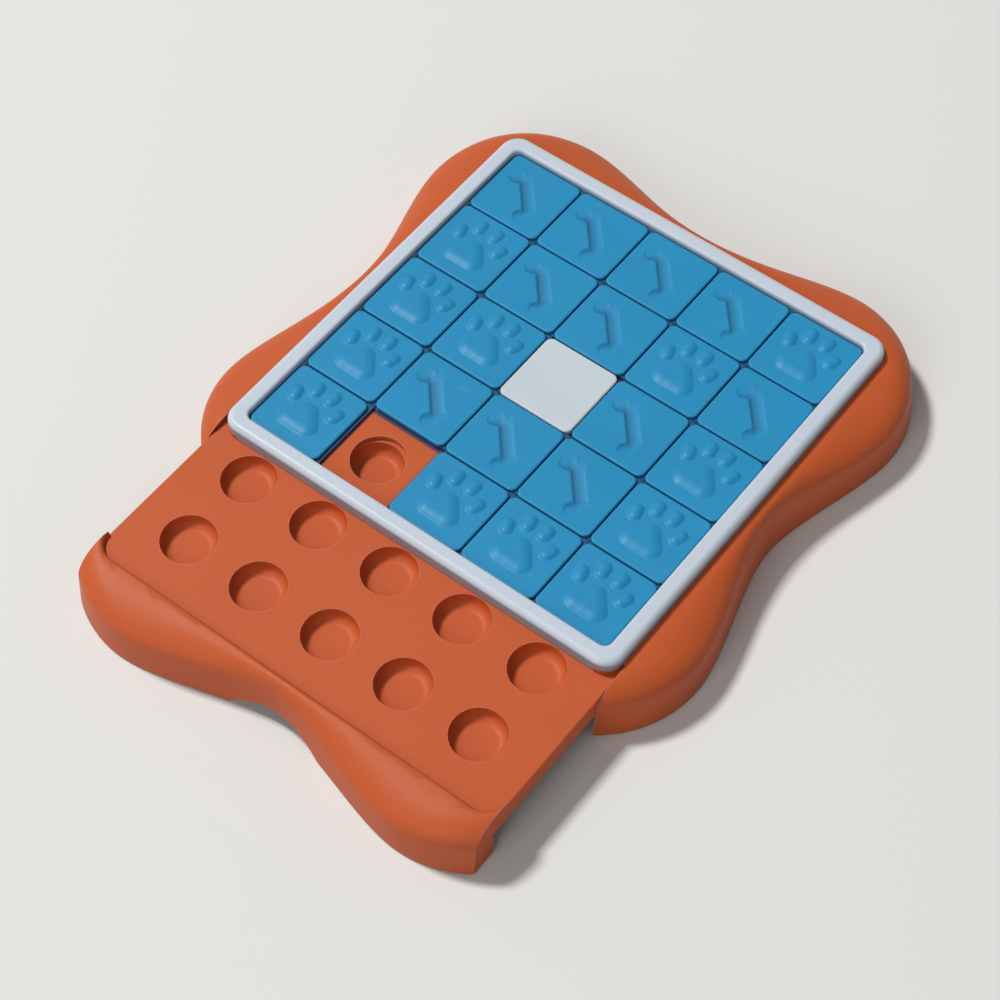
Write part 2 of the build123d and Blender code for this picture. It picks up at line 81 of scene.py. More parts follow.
def place_camera():
    data = bpy.data.cameras.new("portrait_camera")
    data.lens = CAMERA_LENS
    data.shift_x, data.shift_y = CAMERA_SHIFT
    camera = bpy.data.objects.new("portrait_camera", data)
    bpy.context.scene.collection.objects.link(camera)
    back = towards_camera(CAMERA_AZIMUTH, CAMERA_ELEVATION)
    camera.location = CAMERA_AIM + back * CAMERA_DISTANCE
    turn = (-back).to_track_quat("-Z", "Y").to_matrix() @ Matrix.Rotation(-CAMERA_ROLL, 3, "Z")
    camera.rotation_euler = turn.to_euler()
    bpy.context.scene.camera = camera
    return camera


camera = place_camera()
print("camera at", [round(x, 3) for x in camera.location])

# %% [markdown]
# ## Node helpers
# Materials, shader groups and Geometry Nodes trees are all nodes and links, and by hand each node takes
# three or four lines. These helpers add a node and feed its inputs in one line, in the order in which the
# node shows them, or by name where it has many. A value is a plain number or colour, or the output of
# another node.

# %% Add and feed a node


def feed(tree, socket, value):
    """Links a socket to an input, or sets the input to a plain value. None leaves it as it is."""
    if isinstance(value, bpy.types.NodeSocket):
        tree.links.new(value, socket)
    elif value is not None:
        socket.default_value = value


def add(tree, kind, *values, output=0, **settings):
    """Adds a node, feeds its inputs in order, and gives one of its outputs."""
    node = tree.nodes.new(kind)
    for key, value in settings.items():
        setattr(node, key, value)
    for socket, value in zip([s for s in node.inputs if s.enabled], values):
        feed(tree, socket, value)
    return node.outputs[output]


def feed_named(tree, node, values):
    """Feeds a node's inputs by name, with _ for a space."""
    for key, value in values.items():
        feed(tree, node.inputs[key.replace("_", " ")], value)
    return node.outputs


def add_named(tree, kind, **values):
    """Adds a node, feeds its inputs by name, and gives its first output."""
    return feed_named(tree, tree.nodes.new(kind), values)[0]


print("helpers", [helper.__name__ for helper in (feed, add, feed_named, add_named)])

# %% Nodes that come often


def maths(tree, operation, *values, **settings):
    return add(tree, "ShaderNodeMath", *values, operation=operation, **settings)


def vector_maths(tree, operation, *values, output="Vector"):
    return add(tree, "ShaderNodeVectorMath", *values, operation=operation, output=output)


def scaled(tree, vector, factor):
    """A vector times a number."""
    node = vector_maths(tree, "SCALE", vector).node
    return feed_named(tree, node, {"Scale": factor})["Vector"]


def ranged(tree, value, start, stop, low=0.0, high=1.0, **settings):
    """A value that goes from low to high while another goes from start to stop."""
    return add(tree, "ShaderNodeMapRange", value, start, stop, low, high, **settings)


def axes_of(tree, vector):
    """The X, Y and Z of a vector."""
    return list(add(tree, "ShaderNodeSeparateXYZ", vector).node.outputs)


def joined(tree, x, y, z):
    """A vector from its X, Y and Z."""
    return add(tree, "ShaderNodeCombineXYZ", x, y, z)


def place_on_piece(tree):
    """Where a shaded point lies, in the coordinates of its own object."""
    return add(tree, "ShaderNodeTexCoord", output="Object")


def new_material(name):
    material = bpy.data.materials.new(name)
    material.use_nodes = True
    return material, material.node_tree, material.node_tree.nodes["Principled BSDF"]


print("for sums", [helper.__name__ for helper in (maths, vector_maths, scaled, ranged, axes_of, joined)])

# %% Trees with named sockets
SOCKETS = {
    "number": "NodeSocketFloat",
    "vector": "NodeSocketVector",
    "colour": "NodeSocketColor",
    "shape": "NodeSocketGeometry",
    "material": "NodeSocketMaterial",
}


def new_tree(name, kind, inputs, outputs):
    """A node tree with named sockets: inputs are (name, kind, default), outputs are (name, kind)."""
    tree = bpy.data.node_groups.new(name, kind)
    for label, socket, default in inputs:
        made = tree.interface.new_socket(name=label, in_out="INPUT", socket_type=SOCKETS[socket])
        if default is not None:
            made.default_value = default
    for label, socket in outputs:
        tree.interface.new_socket(name=label, in_out="OUTPUT", socket_type=SOCKETS[socket])
    return tree, tree.nodes.new("NodeGroupInput").outputs, tree.nodes.new("NodeGroupOutput").inputs


def place_group(tree, group, **values):
    """Places a group in a tree, with its named inputs fed, and gives its outputs."""
    node = tree.nodes.new(tree.bl_idname.replace("Tree", "Group"))
    node.node_tree = group
    return feed_named(tree, node, values)


print("socket kinds", sorted(SOCKETS))

# %% [markdown]
# ## Floor and light
# The floor is one large pale sheet. A soft lamp stands high on the left: it rakes across the tiles, so that
# the raised paws and hollow bones show, and it leaves a dark crescent in every cup.
# A broad, weak lamp in front and a pale sky keep those shadows open.
# Seen from low down, a floor ends in a hard horizon. Here it fades into a plain backdrop a metre or two
# away, and the sky shows the same colour. Only the camera, gloss and glass see that colour: what lights the
# toy is still the lamps, the floor and a weaker sky.

# %% Sizes and colours of the stage
FLOOR_HALF = 30.0
FLOOR_COLOUR = (0.70, 0.695, 0.67, 1.0)
FLOOR_ROUGHNESS = 0.9
BACKDROP_COLOUR = (0.74, 0.735, 0.71, 1.0)
BACKDROP_RANGE = (0.7, 2.2)
SKY_COLOUR = (0.95, 0.97, 1.0, 1.0)
SKY_STRENGTH = 0.21
LAMPS = {
    "key_lamp": {"place": (-3.8, -0.4, 6.3), "size": 1.1, "power": 465.0},
    "fill_lamp": {"place": (0.4, -3.4, 2.2), "size": 2.0, "power": 42.0},
}
print("floor", 2 * FLOOR_HALF, "m wide, lamps", sorted(LAMPS))

# %% Build the floor


def shows_stage(tree):
    """A mask that is 1 for rays that show the stage: from the camera, or through gloss or glass."""
    path = tree.nodes.new("ShaderNodeLightPath").outputs
    mask = path["Is Camera Ray"]
    for kind in ("Is Glossy Ray", "Is Transmission Ray"):
        mask = maths(tree, "MAXIMUM", mask, path[kind])
    return mask


def floor_material():
    material, tree, shader = new_material("pale_floor")
    shader.inputs["Base Color"].default_value = FLOOR_COLOUR
    shader.inputs["Roughness"].default_value = FLOOR_ROUGHNESS
    away = vector_maths(tree, "LENGTH", place_on_piece(tree), output="Value")
    shown = maths(tree, "MULTIPLY", ranged(tree, away, *BACKDROP_RANGE), shows_stage(tree))
    backdrop = add(tree, "ShaderNodeEmission", BACKDROP_COLOUR)
    both = add(tree, "ShaderNodeMixShader", shown, shader.outputs["BSDF"], backdrop)
    tree.links.new(both, tree.nodes["Material Output"].inputs["Surface"])
    return material


def build_floor():
    mesh = bpy.data.meshes.new("floor")
    h = FLOOR_HALF
    mesh.from_pydata([(-h, -h, 0), (h, -h, 0), (h, h, 0), (-h, h, 0)], [], [(0, 1, 2, 3)])
    mesh.materials.append(floor_material())
    floor = bpy.data.objects.new("floor", mesh)
    bpy.context.scene.collection.objects.link(floor)
    return floor


print("stage", build_floor().name)

# %% Set the lamps and the sky


def add_lamp(name, place, size, power):
    """A square lamp that looks at the toy."""
    data = bpy.data.lights.new(name, "AREA")
    data.size = size
    data.energy = power
    lamp = bpy.data.objects.new(name, data)
    lamp.location = place
    lamp.rotation_euler = (-Vector(place)).to_track_quat("-Z", "Y").to_euler()
    bpy.context.scene.collection.objects.link(lamp)


def build_sky():
    """A sky that lights softly, but looks like the backdrop where it is seen."""
    sky = bpy.data.worlds.new("sky")
    sky.use_nodes = True
    tree = sky.node_tree
    light = tree.nodes["Background"]
    light.inputs["Color"].default_value = SKY_COLOUR
    light.inputs["Strength"].default_value = SKY_STRENGTH
    backdrop = add(tree, "ShaderNodeBackground", BACKDROP_COLOUR)
    both = add(tree, "ShaderNodeMixShader", shows_stage(tree), light.outputs["Background"], backdrop)
    tree.links.new(both, tree.nodes["World Output"].inputs["Surface"])
    bpy.context.scene.world = sky


for name, lamp in LAMPS.items():
    add_lamp(name, **lamp)
build_sky()
bpy.context.scene.view_settings.view_transform = "Standard"
print("lit by", len(LAMPS), "lamps and", bpy.context.scene.world.name)

# %% [markdown]
# ## What moulded plastic looks like
# A moulding is never one flat colour. The melt leaves clouds a little lighter and darker, the mould leaves a
# fine spark-eroded grain, and claws leave short pale scuffs. Outer edges are lightened as well: partly pale
# wear from handling, partly a painted highlight.
# Each of these could be painted, but a pattern worked out from object coordinates needs no unwrapping and
# stays on the piece when it slides. They are three shader groups, and each material places them with its
# own values.

# %% Group: the skin of a moulding
CLOUD_SCALE = 24.0
CLOUD_DETAIL = 3.0
GRAIN_SCALE = 1500.0
GRAIN_DETAIL = 2.0
SAME_HUE = 0.5
SAME_SATURATION = 1.0


def build_skin_group():
    tree, given, out = new_tree(
        "moulded_skin", "ShaderNodeTree",
        [("Colour", "colour", (0.5, 0.5, 0.5, 1.0)), ("Mottle", "number", 0.05),
         ("Grain Scale", "number", GRAIN_SCALE), ("Roughness", "number", 0.45),
         ("Roughness Spread", "number", 0.12)],
        [("Colour", "colour"), ("Roughness", "number"), ("Height", "number")])
    spot = place_on_piece(tree)
    cloud = add(tree, "ShaderNodeTexNoise", spot, CLOUD_SCALE, CLOUD_DETAIL)
    grain = add(tree, "ShaderNodeTexNoise", spot, given["Grain Scale"], GRAIN_DETAIL)
    value = maths(tree, "MULTIPLY_ADD", maths(tree, "SUBTRACT", cloud, 0.5), given["Mottle"], 1.0)
    tinted = add(tree, "ShaderNodeHueSaturation", SAME_HUE, SAME_SATURATION, value, 1.0, given["Colour"])
    level = maths(tree, "SUBTRACT", maths(tree, "ADD", grain, cloud), 1.0)
    rough = maths(tree, "MULTIPLY_ADD", level, given["Roughness Spread"], given["Roughness"])
    tree.links.new(tinted, out["Colour"])
    tree.links.new(rough, out["Roughness"])
    tree.links.new(grain, out["Height"])
    return tree


skin_group = build_skin_group()
print("group", skin_group.name, "sockets", [socket.name for socket in skin_group.interface.items_tree])

# %% Group: edges lightened by pale wear and a painted highlight
MM = 0.001
EDGE_REACH = 0.7 * MM
EDGE_FLAT = 0.985
EDGE_SHARP = 0.80


def build_edge_wear_highlight_group():
    """Marks edges, where a rounded normal turns away from the plain one."""
    tree, given, out = new_tree(
        "handled_edges", "ShaderNodeTree", [("Strength", "number", 0.35)], [("Mask", "number")])
    rounded = add(tree, "ShaderNodeBevel", EDGE_REACH, output="Normal")
    plain = add(tree, "ShaderNodeNewGeometry", output="Normal")
    alike = vector_maths(tree, "DOT_PRODUCT", rounded, plain, output="Value")
    edge = ranged(tree, alike, EDGE_FLAT, EDGE_SHARP)
    # The mask lightens edges in the plastics: partly pale wear, partly a painted highlight.
    tree.links.new(maths(tree, "MULTIPLY", edge, given["Strength"]), out["Mask"])
    return tree


edge_wear_highlight_group = build_edge_wear_highlight_group()
print("group", edge_wear_highlight_group.name)

# %% Group: scuffs from claws and kibble
SCUFF_STRETCH = ((520.0, 60.0, 120.0), (70.0, 430.0, 120.0))
SCUFF_DETAIL = 2.0
SCUFF_START = 0.68
SCUFF_END = 0.78


def build_scuff_group():
    """Draws short strokes in two directions, each from a noise that is stretched along them."""
    tree, given, out = new_tree(
        "claw_scuffs", "ShaderNodeTree", [("Strength", "number", 0.3)], [("Mask", "number")])
    spot = place_on_piece(tree)
    strokes = []
    for stretch in SCUFF_STRETCH:
        drawn = vector_maths(tree, "MULTIPLY", spot, stretch)
        noise = add(tree, "ShaderNodeTexNoise", drawn, 1.0, SCUFF_DETAIL)
        strokes.append(ranged(tree, noise, SCUFF_START, SCUFF_END))
    both = maths(tree, "MAXIMUM", *strokes)
    tree.links.new(maths(tree, "MULTIPLY", both, given["Strength"]), out["Mask"])
    return tree


scuff_group = build_scuff_group()
print("group", scuff_group.name, "strokes", len(SCUFF_STRETCH))

# %% [markdown]
# ## Painted shade in the joints
# Where no tongue reaches, the joints lie in shade: low on the walls of the tiles, in the step inside the
# frame, and on the board under the seams, where it shows through the little stars between four tiles. That
# shade is painted into the colour, dark navy. Painting it seam by seam would mean following every seam.
# Instead one group darkens whatever lies well below the face of its piece, and another draws the grid of
# seams on the board from the pitch of the cells.

# %% Group: painted shade below a face
SHADE_START = 0.4 * MM
SHADE_FULL = 1.1 * MM
FIELD_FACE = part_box("centre_tile")[1][2]


def build_joint_shade_group():
    tree, given, out = new_tree(
        "joint_grime", "ShaderNodeTree",
        [("Face Level", "number", FIELD_FACE), ("Start", "number", SHADE_START),
         ("Full", "number", SHADE_FULL), ("Strength", "number", 0.5)],
        [("Mask", "number")])
    height = axes_of(tree, place_on_piece(tree))[2]
    below = maths(tree, "SUBTRACT", given["Face Level"], height)
    deep = ranged(tree, below, given["Start"], given["Full"])
    # The deeper below the face, the darker: painted shade.
    tree.links.new(maths(tree, "MULTIPLY", deep, given["Strength"]), out["Mask"])
    return tree


joint_shade_group = build_joint_shade_group()
print("group", joint_shade_group.name, "below", round(FIELD_FACE, 4))

# %% Group: painted shade on the board, along the seams above it
JOINT_GAP = 0.3 * MM
SEAM_HALF_WIDTH = 0.9 * MM
BOARD_TOLERANCE = 0.2 * MM
CELL_PITCH = (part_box("paw_tile_r1c5")[0][0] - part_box("paw_tile_r1c1")[0][0]) / 4
JOINT_CROSSING = [low - JOINT_GAP / 2 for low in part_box("centre_tile")[0][:2]]
BOARD_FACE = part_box("paw_tile_r1c1")[0][2] - BOARD_TOLERANCE


def build_seam_shade_group():
    tree, given, out = new_tree(
        "joint_lines", "ShaderNodeTree",
        [("Pitch", "number", CELL_PITCH), ("Half Width", "number", SEAM_HALF_WIDTH),
         ("Floor Level", "number", BOARD_FACE), ("Strength", "number", 0.5)],
        [("Mask", "number")])
    x, y, z = axes_of(tree, place_on_piece(tree))
    reach = maths(tree, "MULTIPLY", given["Pitch"], 0.5)
    aside = [maths(tree, "PINGPONG", maths(tree, "SUBTRACT", along, start), reach)
             for along, start in zip((x, y), JOINT_CROSSING)]
    twice = maths(tree, "MULTIPLY", given["Half Width"], 2.0)
    line = ranged(tree, maths(tree, "MINIMUM", *aside), given["Half Width"], twice, 1.0, 0.0)
    # Dark lines on the board under the seams and round an empty cell: painted shade beneath the tiles.
    shown = maths(tree, "MULTIPLY", line, maths(tree, "GREATER_THAN", z, given["Floor Level"]))
    tree.links.new(maths(tree, "MULTIPLY", shown, given["Strength"]), out["Mask"])
    return tree


seam_shade_group = build_seam_shade_group()
print("group", seam_shade_group.name, "pitch", round(CELL_PITCH, 4))

# %% [markdown]
# ## The finishes
# One function makes every plastic: the skin gives colour, roughness and grain, then scuffs and edges lighten
# it (the edges partly with pale wear, partly with a painted highlight), and painted shade darkens its joints
# where the piece has any.
# The Principled shader stays in the material, with its constant values on its own sockets.
# The orange of shell, drawer, board and runners is one plastic. The frame and the fixed tile are pale, and
# glossier.

# %% Values of the plastics
ORANGE = (0.490, 0.090, 0.023)
BLUE = (0.016, 0.236, 0.448)
ICE = (0.52, 0.575, 0.64)
GREY = (0.51, 0.575, 0.61)
# The darkened joints of frame, fixed tile and tiles, and the board's seam lines, are painted shade.
PLASTICS = {
    "shell_plastic": {"colour": ORANGE, "roughness": 0.46, "mottle": 0.10, "grain": 0.35, "wear": 0.03},
    "drawer_plastic": {"colour": ORANGE, "roughness": 0.50, "mottle": 0.10, "grain": 0.35, "wear": 0.04},
    "board_plastic": {"colour": ORANGE, "roughness": 0.52, "mottle": 0.08, "grain": 0.30, "wear": 0.04,
                      "seams": 0.85},
    "runner_plastic": {"colour": ORANGE, "roughness": 0.52, "mottle": 0.08, "grain": 0.30, "wear": 0.04},
    "frame_plastic": {"colour": ICE, "roughness": 0.34, "mottle": 0.06, "grain": 0.15, "wear": 0.06,
                      "grime": {"under": "tile_frame", "strength": 0.45,
                                "start": 2.0 * MM, "full": 3.4 * MM}},
    "fixed_tile_plastic": {"colour": GREY, "roughness": 0.42, "mottle": 0.12, "grain": 0.30, "wear": 0.06,
                           "grime": {"under": "centre_tile", "strength": 0.45}},
    "tile_plastic": {"colour": BLUE, "roughness": 0.44, "mottle": 0.12, "grain": 0.30, "wear": 0.05,
                     "grime": {"under": "centre_tile", "strength": 0.75}},
}
print("plastics", sorted(PLASTICS))

# %% Make the plastics
GRAIN_DISTANCE = 0.02 * MM
SPECULAR_LEVEL = 0.22
# How far scuffs and edges turn pale; on the edges this is partly a painted highlight.
WEAR_AND_HIGHLIGHT_SHARE = 0.5
SCUFF_ROUGHNESS = 0.4
SCUFF_AND_HIGHLIGHT_COLOUR = (0.80, 0.80, 0.80, 1.0)
# The colour of the painted shade in the joints and under the seams.
PAINTED_SHADE_COLOUR = (0.006, 0.030, 0.100, 1.0)


def tint(tree, mask, under, over):
    """Lays one colour over another where the mask is 1."""
    return add(tree, "ShaderNodeMixRGB", mask, under, over)


def painted_shade_mask(tree, under, strength, start=SHADE_START, full=SHADE_FULL):
    """Where painted shade darkens a piece, below the top face of a node."""
    return place_group(tree, joint_shade_group, Face_Level=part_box(under)[1][2], Start=start, Full=full,
                       Strength=strength)["Mask"]


def emboss(tree, shader, strength, height):
    """Gives a shader its fine grain."""
    bump = add_named(tree, "ShaderNodeBump", Strength=strength, Distance=GRAIN_DISTANCE, Height=height)
    tree.links.new(bump, shader.inputs["Normal"])


def plastic(name, colour, roughness, mottle, grain, wear, grime=None, seams=None):
    material, tree, shader = new_material(name)
    skin = place_group(tree, skin_group, Colour=(*colour, 1.0), Mottle=mottle, Roughness=roughness)
    scuffs = place_group(tree, scuff_group, Strength=wear)["Mask"]
    edges = place_group(tree, edge_wear_highlight_group)["Mask"]
    # Scuffs are pale wear; the edge mask is pale wear and a painted highlight.
    wear_and_highlight = maths(tree, "MULTIPLY", maths(tree, "MAXIMUM", scuffs, edges), WEAR_AND_HIGHLIGHT_SHARE)
    coloured = tint(tree, wear_and_highlight, skin["Colour"], SCUFF_AND_HIGHLIGHT_COLOUR)
    # Painted shade low in the joints, below the piece's face.
    if grime:
        coloured = tint(tree, painted_shade_mask(tree, **grime), coloured, PAINTED_SHADE_COLOUR)
    # Painted shade on the board under the seams.
    if seams:
        coloured = tint(tree, place_group(tree, seam_shade_group, Strength=seams)["Mask"], coloured, PAINTED_SHADE_COLOUR)
    tree.links.new(coloured, shader.inputs["Base Color"])
    rough = maths(tree, "MULTIPLY_ADD", scuffs, SCUFF_ROUGHNESS, skin["Roughness"])
    tree.links.new(rough, shader.inputs["Roughness"])
    emboss(tree, shader, grain, skin["Height"])
    shader.inputs["Specular IOR Level"].default_value = SPECULAR_LEVEL
    return material


finish = {name: plastic(name, **values) for name, values in PLASTICS.items()}
print("made", [material.name for material in finish.values()])

# %% [markdown]
# ## Rubber and steel
# The feet are soft black rubber with a dull, slightly dusty skin. The screws are zinc-plated steel: the
# plating is bright but cloudy, with darker patches, so its roughness follows the same clouds as its colour.

# %% Feet and screws
RUBBER = (0.022, 0.022, 0.024)
RUBBER_DUST = (0.16, 0.15, 0.14)
ZINC_BRIGHT = (0.66, 0.66, 0.68)
ZINC_DULL = (0.34, 0.34, 0.37)
PATCH_DETAIL = 4.0
PATCH_RAMP = (0.38, 0.68)
PATCH_RANGE = (0.3, 0.7)
PATCH_GRAIN = 0.4
FINER = 6


def clouded(name, dark, light, scale, roughness, metallic):
    """A material whose colour and roughness drift between two values."""
    material, tree, shader = new_material(name)
    spot = place_on_piece(tree)
    cloud = add(tree, "ShaderNodeTexNoise", spot, scale, PATCH_DETAIL)
    ramp = tree.nodes.new("ShaderNodeValToRGB")
    for element, place, colour in zip(ramp.color_ramp.elements, PATCH_RAMP, (dark, light)):
        element.position = place
        element.color = (*colour, 1.0)
    tree.links.new(cloud, ramp.inputs["Fac"])
    tree.links.new(ramp.outputs["Color"], shader.inputs["Base Color"])
    tree.links.new(ranged(tree, cloud, *PATCH_RANGE, *roughness), shader.inputs["Roughness"])
    emboss(tree, shader, PATCH_GRAIN, add(tree, "ShaderNodeTexNoise", spot, scale * FINER, GRAIN_DETAIL))
    shader.inputs["Metallic"].default_value = metallic
    return material


finish["foot_rubber"] = clouded("foot_rubber", RUBBER, RUBBER_DUST, 260.0, (0.75, 0.95), 0.0)
finish["screw_steel"] = clouded("screw_steel", ZINC_DULL, ZINC_BRIGHT, 420.0, (0.22, 0.45), 1.0)
print("finishes", sorted(finish))

# %% [markdown]
# ## Dressing the CAD pieces
# The shell, drawer, frame, board, runners, feet and fixed tile already have their real shape, so they stay as
# they are and only take a finish. Their mesh is loose triangles: a Weld modifier joins the corners, an Edge
# Split keeps the crisp edges, and weighted normals let the small roundings shine without bending the flats.

# %% Dress them
WELD_REACH = 0.002 * MM
CRISP_ANGLE = math.radians(50)
FLAT_WEIGHT = 100


def smooth_flats(piece, crisp_angle):
    """Smooth shading that keeps sharp edges and flat faces as they are."""
    piece.data.shade_smooth()
    piece.modifiers.new("crisp_edges", "EDGE_SPLIT").split_angle = crisp_angle
    piece.modifiers.new("flat_faces", "WEIGHTED_NORMAL").weight = FLAT_WEIGHT


def dress(node, material):
    node.data.materials.clear()
    node.data.materials.append(material)
    node.modifiers.new("weld", "WELD").merge_threshold = WELD_REACH
    smooth_flats(node, CRISP_ANGLE)


for name, node in nodes.items():
    dress(node, finish[slot_of[name]])
print("dressed", len(nodes))

# %% [markdown]
# ## A tile blank
# Every sliding tile is the same flat moulding: a rounded square with a soft top edge, a groove along two
# sides and a tongue on the other two. Its top will carry a paw or a bone, which needs fine, even faces.
# So the blank is a square grid whose rings are bent to the rounded outline, followed down over the edge by
# more rings: round the rim, along the wall, and in or out for the groove and the tongue.

# %% Sizes of a tile
TILE_SIDE = 44.7 * MM
TILE_HALF = TILE_SIDE / 2
TILE_THICKNESS = 3.8 * MM
TILE_CORNER = 4.0 * MM
TILE_RIM = 1.0 * MM
TILE_DRAFT = 0.25 * MM
TOP_HALF = TILE_HALF - TILE_DRAFT
FLANGE_CORNER = 0.3 * MM
FOOT_BEVEL = 0.2 * MM
TONGUE_REACH = 1.1 * MM
TONGUE_LEVELS = (1.85 * MM, 0.85 * MM)
GROOVE_DEPTH = 1.1 * MM
GROOVE_LEVELS = (2.0 * MM, 0.7 * MM)
GRID_HALF = 52
RIM_STEPS = 6
print("grid of", 2 * GRID_HALF, "faces a side,", round(TILE_SIDE / (2 * GRID_HALF) / MM, 2), "mm each")

# %% Points on the rings of the blank


def ring_point(i, j, ring, reach, corner):
    """Where step (i, j) of a square ring lies on a rounded square of that half size and corner."""
    along = (j if abs(i) >= abs(j) else i) / ring
    straight = reach - corner
    run = abs(along) * (straight + corner * math.pi / 4)
    turn = max(0.0, run - straight) / corner if corner > 0 else 0.0
    out = straight + corner * math.cos(turn)
    across = math.copysign(min(run, straight) + corner * math.sin(turn), along)
    if abs(i) >= abs(j):
        return math.copysign(out, i), across
    return across, math.copysign(out, j)


def border_steps(n):
    """The steps round the edge of the grid, counter-clockwise from above."""
    steps = [(n, k) for k in range(-n, n)] + [(k, n) for k in range(n, -n, -1)]
    return steps + [(-n, k) for k in range(n, -n, -1)] + [(k, -n) for k in range(-n, n)]


def wall_point(i, j, level, moved):
    """A point of the side wall at the upper (0) or lower (1) edge of the tongue and the groove.

    The tongue runs round its corner, so that blue shows where four tiles meet."""
    x, y = ring_point(i, j, GRID_HALF, TILE_HALF, FLANGE_CORNER if moved else TILE_CORNER)
    z = (TONGUE_LEVELS if i + j > 0 else GROOVE_LEVELS)[level]
    if moved:
        x, y = max(x, GROOVE_DEPTH - TILE_HALF), max(y, GROOVE_DEPTH - TILE_HALF)
        x += TONGUE_REACH if x >= TILE_HALF - FOOT_BEVEL else 0.0
        y += TONGUE_REACH if y >= TILE_HALF - FOOT_BEVEL else 0.0
    return x, y, z


print("border", len(border_steps(GRID_HALF)), "points")

# %% The top and the sides of the blank


def top_grid():
    """The flat top: its points, its faces, and the number of the point at each step."""
    n = GRID_HALF
    flat, bend = TOP_HALF - TILE_RIM, TILE_CORNER - TILE_RIM
    points, at = [], {}
    for i in range(-n, n + 1):
        for j in range(-n, n + 1):
            ring = max(abs(i), abs(j))
            reach = flat * ring / n
            x, y = ring_point(i, j, ring, reach, max(0.0, bend - flat + reach)) if ring else (0.0, 0.0)
            at[i, j] = len(points)
            points.append((x, y, TILE_THICKNESS))
    faces = [(at[i, j], at[i + 1, j], at[i + 1, j + 1], at[i, j + 1])
             for i in range(-n, n) for j in range(-n, n)]
    return points, faces, at


def outline_ring(steps, reach, inset, z):
    """A ring on a rounded square of that half size, drawn in by an inset."""
    return [(*ring_point(i, j, GRID_HALF, reach - inset, TILE_CORNER - inset), z) for i, j in steps]


def side_rings(steps):
    """The rings from the rim down to the underside."""
    rings = []
    for k in range(1, RIM_STEPS + 1):
        turn = math.pi / 2 * k / RIM_STEPS
        inset = TILE_RIM * (1 - math.sin(turn))
        z = TILE_THICKNESS - TILE_RIM * (1 - math.cos(turn))
        rings.append(outline_ring(steps, TOP_HALF, inset, z))
    for level, moved in ((0, False), (0, True), (1, True), (1, False)):
        rings.append([wall_point(i, j, level, moved) for i, j in steps])
    rings.append(outline_ring(steps, TILE_HALF, 0.0, FOOT_BEVEL))
    rings.append(outline_ring(steps, TILE_HALF, FOOT_BEVEL, 0.0))
    return rings


print("rings down the side", len(side_rings(border_steps(GRID_HALF))))

# %% Build the blank


def tile_blank():
    points, faces, at = top_grid()
    steps = border_steps(GRID_HALF)
    upper = [at[step] for step in steps]
    for ring in side_rings(steps):
        lower = list(range(len(points), len(points) + len(ring)))
        points += ring
        for k, low in enumerate(lower):
            after = (k + 1) % len(lower)
            faces.append((low, lower[after], upper[after], upper[k]))
        upper = lower
    faces.append(tuple(reversed(upper)))
    mesh = bpy.data.meshes.new("tile_blank")
    mesh.from_pydata(points, [], faces)
    return mesh


blank = tile_blank()
print("blank", len(blank.vertices), "points", len(blank.polygons), "faces")

# %% [markdown]
# ## Paws and bones
# A paw is four long toes and a three-cornered heel, all softly domed pads. A bone is the other way round, a
# hollow that is dished: deepest along one wall of the shaft and shallow towards the other and at the knobs.
# Both follow a rule, a height over each point of the tile, so each is a Geometry Nodes tree: it measures how
# far a point lies from the core line of a pad, or inside the outline of the hollow, turns that into a height
# and moves the point. The sizes are named inputs, so the same tree would serve a bigger or a flatter figure.

# %% Tree: one pad about a core line
PAD_CROWN = 2.2


def build_pad_tree():
    tree, given, out = new_tree(
        "pad_about_a_line", "GeometryNodeTree",
        [("Place", "vector", None), ("From", "vector", None), ("To", "vector", None),
         ("Radius", "number", 0.003), ("Height", "number", 0.001), ("Crown", "number", PAD_CROWN)],
        [("Height", "number")])
    away = vector_maths(tree, "SUBTRACT", given["Place"], given["From"])
    line = vector_maths(tree, "SUBTRACT", given["To"], given["From"])
    covered = vector_maths(tree, "DOT_PRODUCT", away, line, output="Value")
    whole = vector_maths(tree, "DOT_PRODUCT", line, line, output="Value")
    share = maths(tree, "DIVIDE", covered, whole, use_clamp=True)
    distance = vector_maths(tree, "DISTANCE", away, scaled(tree, line, share), output="Value")
    outward = maths(tree, "DIVIDE", distance, given["Radius"], use_clamp=True)
    lift = maths(tree, "SUBTRACT", 1.0, maths(tree, "POWER", outward, given["Crown"]))
    tree.links.new(maths(tree, "MULTIPLY", lift, given["Height"]), out["Height"])
    return tree


pad_tree = build_pad_tree()
print("tree", pad_tree.name)

# %% Moving the top of a tile


def lift_top(tree, tile, height, finish_socket):
    """Moves the points of a tile's top by a height, and gives the finished shape."""
    level = axes_of(tree, add(tree, "GeometryNodeInputPosition"))[2]
    on_top = add(tree, "FunctionNodeCompare", level, TILE_THICKNESS - TILE_RIM / 2, operation="GREATER_THAN")
    moved = add(tree, "GeometryNodeSetPosition", tile, on_top, None, joined(tree, 0.0, 0.0, height))
    real = add(tree, "GeometryNodeRealizeInstances", moved)
    return add(tree, "GeometryNodeSetMaterial", real, True, finish_socket)


print("moves what lies above", round((TILE_THICKNESS - TILE_RIM / 2) / MM, 2), "mm")

